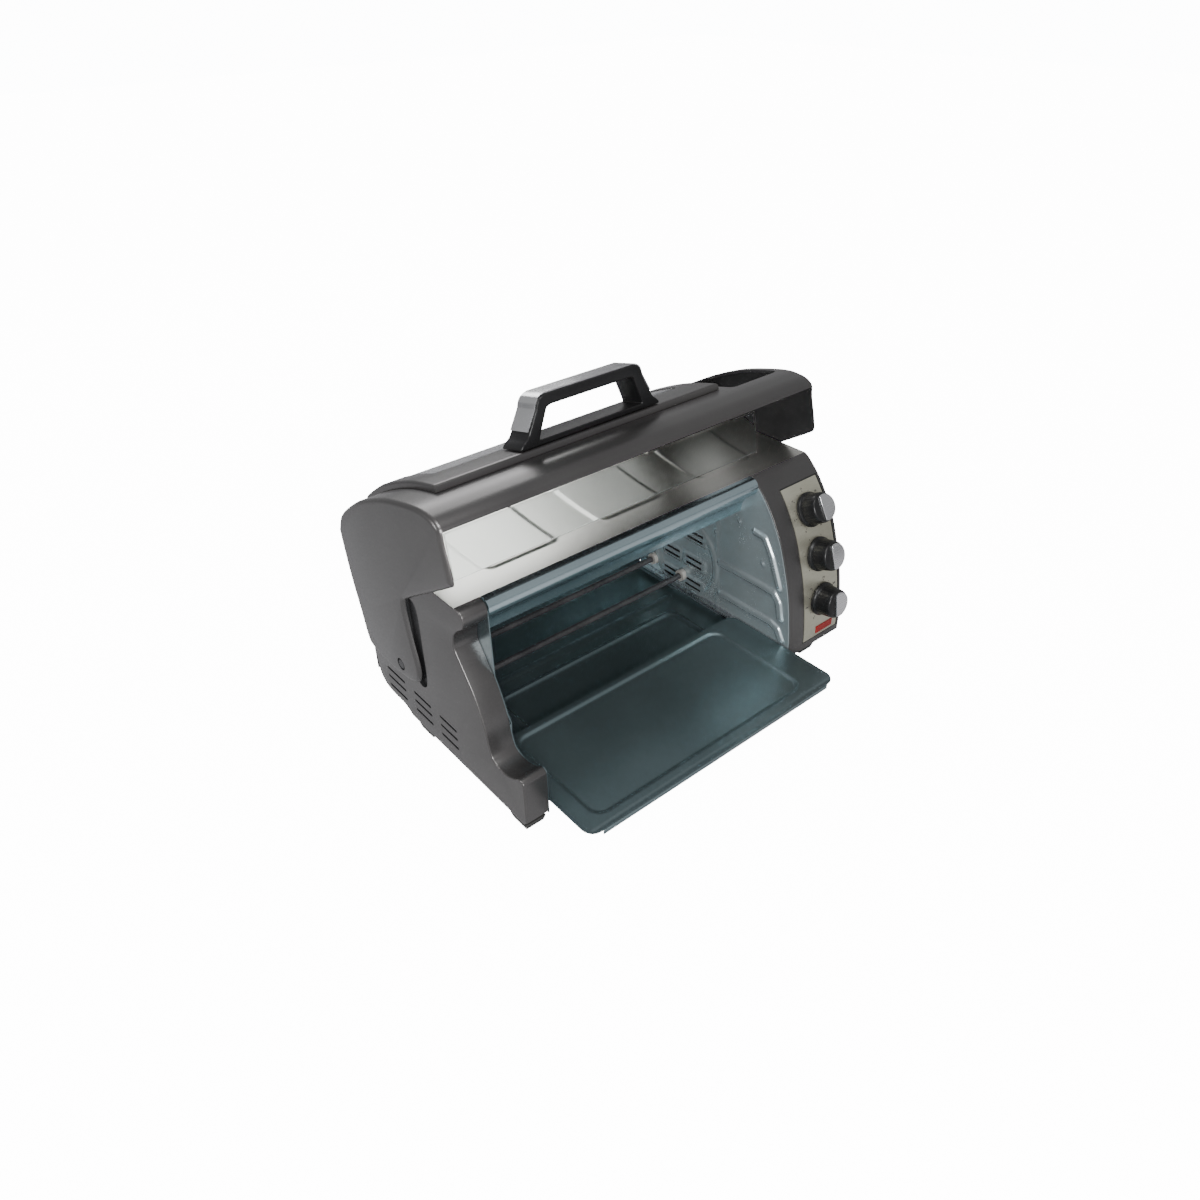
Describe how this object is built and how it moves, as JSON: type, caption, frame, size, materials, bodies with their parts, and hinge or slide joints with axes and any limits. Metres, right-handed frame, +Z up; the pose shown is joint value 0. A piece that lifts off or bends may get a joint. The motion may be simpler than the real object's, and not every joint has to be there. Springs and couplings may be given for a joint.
{
  "type": "toaster oven",
  "caption": "Countertop toaster oven with a curved roll-top door on side arms, a pull-out crumb tray, a side control panel and a slatted convection wall.",
  "frame": {"origin": "on the table under the middle of the whole object, with the door up and the tray drawn out", "axes": "+X to the right of someone in front, +Y to the back, +Z up"},
  "size_m": [0.47, 0.3534, 0.3439],
  "materials": {
    "gunmetal": "dark metallic paint, satin",
    "black_plastic": "fine satin",
    "champagne": "warm satin metal",
    "polished_steel": "polished",
    "galvanised": "blue-grey galvanised sheet",
    "plain_steel": "plain steel",
    "brushed_aluminium": "brushed",
    "element_sheath": "oxidised dark grey",
    "ceramic": "matt ivory",
    "red_lens": "translucent red",
    "clear_glass": "clear toughened glass"
  },
  "bodies": {
    "body": {"base_pan": "galvanised", "cavity_back_wall": "galvanised", "cavity_ceiling": "galvanised", "cavity_left_wall": "galvanised", "cavity_right_wall": "galvanised", "control_fascia": "champagne", "control_housing": "gunmetal", "cord_gland": "black_plastic", "fan_motor": "plain_steel", "foot_front_left": "black_plastic", "foot_front_right": "black_plastic", "foot_rear_left": "black_plastic", "foot_rear_right": "black_plastic", "function_switch": "ceramic", "header_bar": "polished_steel", "hinge_pin_left": "plain_steel", "hinge_pin_right": "plain_steel", "lamp_lens": "red_lens", "left_end_cap": "gunmetal", "lower_element_front": "element_sheath", "lower_element_front_holder_left": "ceramic", "lower_element_front_holder_right": "ceramic", "lower_element_rear": "element_sheath", "lower_element_rear_holder_left": "ceramic", "lower_element_rear_holder_right": "ceramic", "rear_cover": "gunmetal", "right_side_cover": "gunmetal", "terminal_block": "ceramic", "thermostat": "ceramic", "timer_body": "ceramic", "top_cover": "polished_steel", "tray_rail_left": "plain_steel", "tray_rail_right": "plain_steel", "upper_element_front": "element_sheath", "upper_element_front_holder_left": "ceramic", "upper_element_front_holder_right": "ceramic", "upper_element_rear": "element_sheath", "upper_element_rear_holder_left": "ceramic", "upper_element_rear_holder_right": "ceramic"},
    "door": {"door_arm_left": "gunmetal", "door_arm_right": "gunmetal", "door_skin": "gunmetal", "door_bezel": "gunmetal", "door_window_glass": "clear_glass", "door_lower_glass": "clear_glass", "handle_body": "black_plastic", "handle_insert": "brushed_aluminium", "handle_screw_left": "plain_steel", "handle_screw_right": "plain_steel"},
    "crumb_tray": {"crumb_tray": "galvanised"},
    "convection_fan": {"convection_fan": "plain_steel"},
    "knob_timer": {"knob_timer": "black_plastic", "knob_cap_timer": "brushed_aluminium"},
    "knob_function": {"knob_function": "black_plastic", "knob_cap_function": "brushed_aluminium"},
    "knob_temperature": {"knob_temperature": "black_plastic", "knob_cap_temperature": "brushed_aluminium"}
  },
  "joints": [
    {"name": "door_hinge", "type": "hinge", "parent": "body", "child": "door", "pos_m": [0, 0.08265, 0.081], "axis": [1, 0, 0], "range_deg": [0, 51]},
    {"name": "tray_slide", "type": "slide", "parent": "body", "child": "crumb_tray", "axis": [0, -1, 0], "range_m": [-0.058, 0.05]},
    {"name": "timer_turn", "type": "hinge", "parent": "body", "child": "knob_timer", "pos_m": [0.1965, -0.07028, 0.164], "axis": [0, -0.8627, 0.5057], "range_deg": [-300, 0]},
    {"name": "function_turn", "type": "hinge", "parent": "body", "child": "knob_function", "pos_m": [0.1965, -0.09037, 0.117], "axis": [0, -0.9502, 0.3117], "range_deg": [-180, 0]},
    {"name": "temperature_turn", "type": "hinge", "parent": "body", "child": "knob_temperature", "pos_m": [0.1965, -0.103, 0.064], "axis": [0, -0.9889, 0.1488], "range_deg": [-270, 0]},
    {"name": "fan_spin", "type": "hinge", "parent": "body", "child": "convection_fan", "pos_m": [0.1467, 0.06265, 0.068], "axis": [1, 0, 0], "continuous": true}
  ]
}
